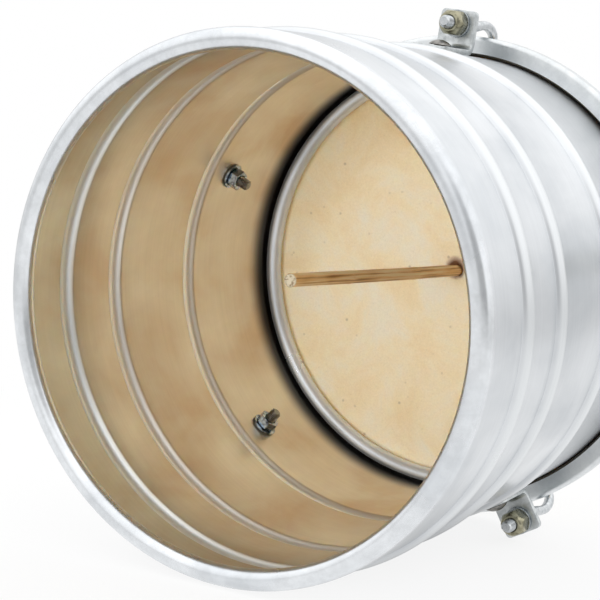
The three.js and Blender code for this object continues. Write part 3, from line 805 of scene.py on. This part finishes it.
tuningNut = {
    "across": 12.0, "height": 9.0, "hole": 3.3, "low": 166.7,
    # radius and height of the free end, which is turned to a round nose
    "nose": ((4.4, 0.0), (5.1, 0.35), (5.7, 1.1), (6.3, 2.2), (7.03, 3.9)),
}
tuningWasher = {"radius": 7.0, "hole": 3.475, "sheet": 1.5, "low": 176.0}
bracketBolt = {
    "radius": 3.0, "thread": 0.52, "pitch": 1.0, "low": 106.5, "high": 119.4,
    # radius and distance from the axis, up to the head
    "shank": ((0, 106.3), (1.9, 106.3), (2.45, 106.8), (2.45, 118.4), (3.0, 118.9)),
    "rim": ((5.35, 0.0), (5.75, 0.3)), "domeCentre": -5.2, "domeRadius": 8.0, "domeTurn": 44,
}
innerWasher = {"radius": 7.0, "hole": 3.3, "sheet": 1.2, "low": 117.27}
innerNut = {"across": 10.0, "height": 5.0, "hole": 3.1, "low": 111.97}


def fitLugs(master, place, angle, *names):
    moveMesh(master, place)
    smoothPiece(master, angle)
    onEveryLug(master, *names)


def buildLugFasteners():
    along = Matrix.Translation((0, 0, lug["rod"] * mm)) @ Matrix.Rotation(-math.pi / 2, 4, "X")
    out = Matrix.Translation((0, lug["bolt"] * mm, 0))
    nut = hexNut("tuningNutMaster", **tuningNut)
    fitLugs(nut, along, 30, "tuningNut", "tuning_nut", yellowZinc, "yellow_zinc", "nut_body_{}")
    ring = washer("tuningWasherMaster", **tuningWasher)
    fitLugs(ring, along, 30, "tuningWasher", "tuning_washer", brightZinc, "zinc_plate", "shell_body")

    seat = lug["foot"] + lug["sheet"] + fitGap
    dome = arc(0, bracketBolt["domeCentre"], bracketBolt["domeRadius"], bracketBolt["domeTurn"], 90, 12)
    profile = [*bracketBolt["shank"], (bracketBolt["radius"], seat)]
    profile += [(r, seat + s) for r, s in (*bracketBolt["rim"], *dome)]
    bolt = spunPiece("bracketBoltMaster", profile, 48, axis="Z")
    ridge = coilRidge("bracketBoltThread", bracketBolt["radius"], bracketBolt["thread"],
                      bracketBolt["pitch"], bracketBolt["low"], bracketBolt["high"])
    joinPieces(bolt, ridge)
    fitLugs(bolt, out, 40, "bracketBolt", "bracket_bolt", dullZinc, "zinc_plate", "shell_body")
    ring = washer("innerWasherMaster", **innerWasher)
    fitLugs(ring, out, 30, "innerWasher", "inner_washer", blackZinc, "black_zinc", "shell_body")
    nut = hexNut("innerNutMaster", **innerNut)
    fitLugs(nut, out, 30, "innerNut", "inner_nut", blackZinc, "black_zinc", "shell_body")


buildLugFasteners()
print("lugs are fitted")

# Stick and binding

stick = {
    "radius": 3.3, "reach": 181.8, "lean": 2.6, "turn": 25.0, "knob": 3.5, "neck": 1.9, "neckLength": 2.0,
    "edge": 0.5, "nodes": (58.0, 128.0), "swell": 0.16, "swellWidth": 2.2,
    # places are measured from the knob's centre; cane is never quite round or straight
    "straightTo": -9.0, "step": 2.2, "rubbed": 0.12, "waver": 0.03, "bowAcross": 0.22, "bowUp": 0.18,
}
# radius of the thread and of its turns, and how far the first one lies below the pocket
binding = {"thread": 0.33, "radius": 4.45, "turns": 2, "sink": 1.35}


def buildStick():
    neckTop = -math.sqrt(stick["knob"] ** 2 - stick["neck"] ** 2)
    neckEnd = neckTop - stick["neckLength"]
    shoulder = stick["radius"] - stick["neck"]
    points = [(0.0, stick["knob"])] + arc(0, 0, stick["knob"], 80, -50, 14)
    points += [(stick["neck"], neckTop), (stick["neck"], neckEnd),
               (stick["neck"] + 0.6 * shoulder, neckEnd - 0.7 * shoulder),
               (stick["radius"] - 0.15, neckEnd - 1.1 * shoulder)]
    place = stick["straightTo"]
    while place > -stick["reach"] + 4:
        swell = sum(stick["swell"] * math.exp(-((place + node) / stick["swellWidth"]) ** 2)
                    for node in stick["nodes"])
        waver = stick["waver"] * math.sin(place / 6.1)
        points.append((stick["radius"] - stick["rubbed"] + swell + waver, place))
        place -= stick["step"]
    points += [(stick["radius"] - 0.05, -stick["reach"] + stick["edge"]),
               (stick["radius"] - stick["edge"], -stick["reach"]), (0.0, -stick["reach"])]
    piece = spunPiece("caneStick", points, 32)
    for vertex in piece.data.vertices:
        s = vertex.co.y / mm
        past = stick["straightTo"] - s
        if past > 0:
            vertex.co.x += stick["bowAcross"] * math.sin(s / 31) * mm * min(1, past / 20)
            vertex.co.z += stick["bowUp"] * math.sin(s / 43 + 1) * mm * min(1, past / 20)
    smoothPiece(piece, 40)
    turn = (Matrix.Rotation(math.radians(-stick["turn"]), 4, "Y")
            @ Matrix.Rotation(math.radians(-stick["lean"]), 4, "X"))
    tied = Vector((head["tie"][0], head["knobCentre"], head["tie"][1])) * mm
    moveMesh(piece, toWorld @ Matrix.Translation(tied) @ turn)
    finishPiece(piece, cane, "stick_body", "cane", "stick")


def buildBinding():
    # thread wound round the neck, the ends tucked in
    low = head["knobCentre"] - head["knob"] * math.cos(math.radians(head["neckTurn"])) - binding["sink"]
    points = [(r, 0, s) for r, s in arc(binding["radius"], 0, binding["thread"], 0, 330, 11)]
    piece = startWire("threadBinding", tuple(p * mm for p in points[0]))
    extrudeAlong(points, closed=True)
    bpy.ops.object.mode_set(mode="OBJECT")
    modify(piece, "SCREW", axis="Z", angle=fullTurn, screw_offset=2 * binding["thread"] * mm, steps=40,
           render_steps=40, iterations=binding["turns"], use_merge_vertices=False)
    bpy.ops.object.mode_set(mode="EDIT")
    bpy.ops.mesh.select_all(action="SELECT")
    bpy.ops.mesh.fill_holes(sides=12)
    tidyNormals()
    smoothPiece(piece, 60)
    turned = Matrix.Rotation(-math.pi / 2, 4, "X")
    tied = Vector((head["tie"][0], low, head["tie"][1])) * mm
    moveMesh(piece, toWorld @ Matrix.Translation(tied) @ turned)
    finishPiece(piece, thread, "head_body", "waxed_thread", "stick_binding")


buildStick()
buildBinding()
print("stick is tied")

# Studio

studio = {
    "floor": 8.0, "floorColour": "#F3F3F2", "nearFade": 0.12, "farFade": 0.5, "nearWhite": 0.85,
    # the white table top and the drum's shade on it, in metres from the middle
    "tableEdge": 0.8, "tableFade": 0.15, "underFrom": 0.05, "underTo": 0.12, "underTone": 0.45,
    # how bright the room looks in polished metal, by the sine of the height above the horizon
    "room": ((0.0, 0.78), (0.15, 1.06), (0.3, 1.2), (0.5, 1.28), (1.0, 1.4)),
    "roomMost": 1.45, "daylight": 0.75,
    # dark screens that polished faces see: the way towards each, how near its edge and its middle
    # are to that way, and its tone
    "screens": (
        {"toward": (0.82, -0.57, 0.05), "edge": 0.75, "middle": 0.94, "tone": 0.45},
        {"toward": (-0.6, 0.78, 0.18), "edge": 0.75, "middle": 0.98, "tone": 0.68},
    ),
    "aim": (0.0, 0.0, 0.12),
    "lamps": (
        # name, place, size, power
        ("keySoftbox", (-1.7, -1.2, 2.4), 2.4, 30.0),
        ("fillSoftbox", (1.9, -1.6, 1.3), 1.8, 12.0),
        ("frontSoftbox", (0.0, -2.4, 0.22), 0.8, 28.5),
        ("backSoftbox", (0.3, 2.0, 1.3), 2.0, 21.0),
    ),
}


def addFloor():
    bpy.ops.object.select_all(action="DESELECT")
    bpy.ops.mesh.primitive_plane_add(size=studio["floor"])
    floor = bpy.context.object
    floor.name = "studioFloor"
    # matt paper sweep: fades to plain white away from the drum
    material, shader = newMaterial("paperSweep", **{"Roughness": 0.9, "Specular IOR Level": 0.1})
    link = material.node_tree.links.new
    shader.inputs["Base Color"].default_value = toLinear(studio["floorColour"])
    coordinates = addNode(material, "ShaderNodeTexCoord", {})
    distance = addNode(material, "ShaderNodeVectorMath", {0: coordinates.outputs["Object"]},
                       operation="LENGTH")
    fade = addNode(material, "ShaderNodeMapRange", {
        "Value": distance.outputs["Value"], "From Min": studio["nearFade"], "From Max": studio["farFade"],
        "To Min": studio["nearWhite"], "To Max": 1.0}, interpolation_type="SMOOTHSTEP")
    ray = addNode(material, "ShaderNodeLightPath", {})
    seen = addNode(material, "ShaderNodeMath", {0: ray.outputs["Is Camera Ray"], 1: fade.outputs[0]},
                   operation="MULTIPLY")
    amount = addNode(material, "ShaderNodeMath", {0: ray.outputs["Is Glossy Ray"], 1: seen.outputs[0]},
                     operation="MAXIMUM")
    # polished faces see a white table top with an edge, and the darker room behind it
    edge = addNode(material, "ShaderNodeMapRange", {
        "Value": distance.outputs["Value"], "From Min": studio["tableEdge"],
        "From Max": studio["tableEdge"] + studio["tableFade"], "To Min": 1.0,
        "To Max": studio["room"][0][1]})
    # the table is dark where the drum keeps the light off it
    under = addNode(material, "ShaderNodeMapRange", {
        "Value": distance.outputs["Value"], "From Min": studio["underFrom"],
        "From Max": studio["underTo"], "To Min": studio["underTone"], "To Max": 1.0})
    table = addNode(material, "ShaderNodeMath", {0: edge.outputs[0], 1: under.outputs[0]},
                    operation="MULTIPLY")
    bright = addNode(material, "ShaderNodeMix", {
        0: ray.outputs["Is Camera Ray"], 2: table.outputs[0], 3: 1.0}, data_type="FLOAT")
    white = addNode(material, "ShaderNodeEmission", {"Color": (1, 1, 1, 1), "Strength": bright.outputs[0]})
    mix = addNode(material, "ShaderNodeMixShader", {0: amount.outputs[0], 1: shader.outputs[0],
                                                    2: white.outputs[0]})
    link(mix.outputs[0], material.node_tree.nodes["Material Output"].inputs["Surface"])
    floor.data.materials.append(material)


def addWorld():
    world = bpy.data.worlds.new("studioWorld")
    bpy.context.scene.world = world
    world.use_nodes = True
    background = world.node_tree.nodes["Background"]
    background.inputs["Color"].default_value = (1, 1, 1, 1)
    ray = addNode(world, "ShaderNodeLightPath", {})
    mirrored = addNode(world, "ShaderNodeMath", {
        0: ray.outputs["Is Glossy Ray"], 1: ray.outputs["Is Transmission Ray"]}, operation="MAXIMUM")
    # polished faces see a room that is brightest above
    direction = addNode(world, "ShaderNodeTexCoord", {}).outputs["Generated"]
    height = addNode(world, "ShaderNodeSeparateXYZ", {0: direction}).outputs[2]
    shades = [(at, (tone / studio["roomMost"],) * 3 + (1.0,)) for at, tone in studio["room"]]
    shade = addNode(world, "ShaderNodeValToRGB", {"Fac": height}, stops=shades)
    strip = addNode(world, "ShaderNodeMath", {0: shade.outputs["Color"], 1: studio["roomMost"]},
                    operation="MULTIPLY")
    for screen in studio["screens"]:
        near = addNode(world, "ShaderNodeVectorMath", {0: direction, 1: screen["toward"]},
                       operation="DOT_PRODUCT")
        dark = addNode(world, "ShaderNodeMapRange", {
            "Value": near.outputs["Value"], "From Min": screen["edge"], "From Max": screen["middle"],
            "To Min": 1.0, "To Max": screen["tone"]}, interpolation_type="SMOOTHSTEP")
        strip = addNode(world, "ShaderNodeMath", {0: strip.outputs[0], 1: dark.outputs[0]},
                        operation="MULTIPLY")
    lit = addNode(world, "ShaderNodeMix", {0: mirrored.outputs[0], 2: studio["daylight"],
                                           3: strip.outputs[0]}, data_type="FLOAT")
    strength = addNode(world, "ShaderNodeMix", {0: ray.outputs["Is Camera Ray"], 2: lit.outputs[0], 3: 1.0},
                       data_type="FLOAT")
    world.node_tree.links.new(strength.outputs[0], background.inputs["Strength"])


def addLamps():
    for name, place, size, power in studio["lamps"]:
        data = bpy.data.lights.new(name, "AREA")
        data.shape = "DISK"
        data.size = size
        data.energy = power
        lamp = bpy.data.objects.new(name, data)
        bpy.context.collection.objects.link(lamp)
        lamp.location = place
        lamp.visible_glossy = False
        aim = Vector(studio["aim"]) - Vector(place)
        lamp.rotation_euler = aim.to_track_quat("-Z", "Y").to_euler()


addFloor()
addWorld()
addLamps()
bpy.context.scene.view_settings.view_transform = "Standard"
print("studio is lit")
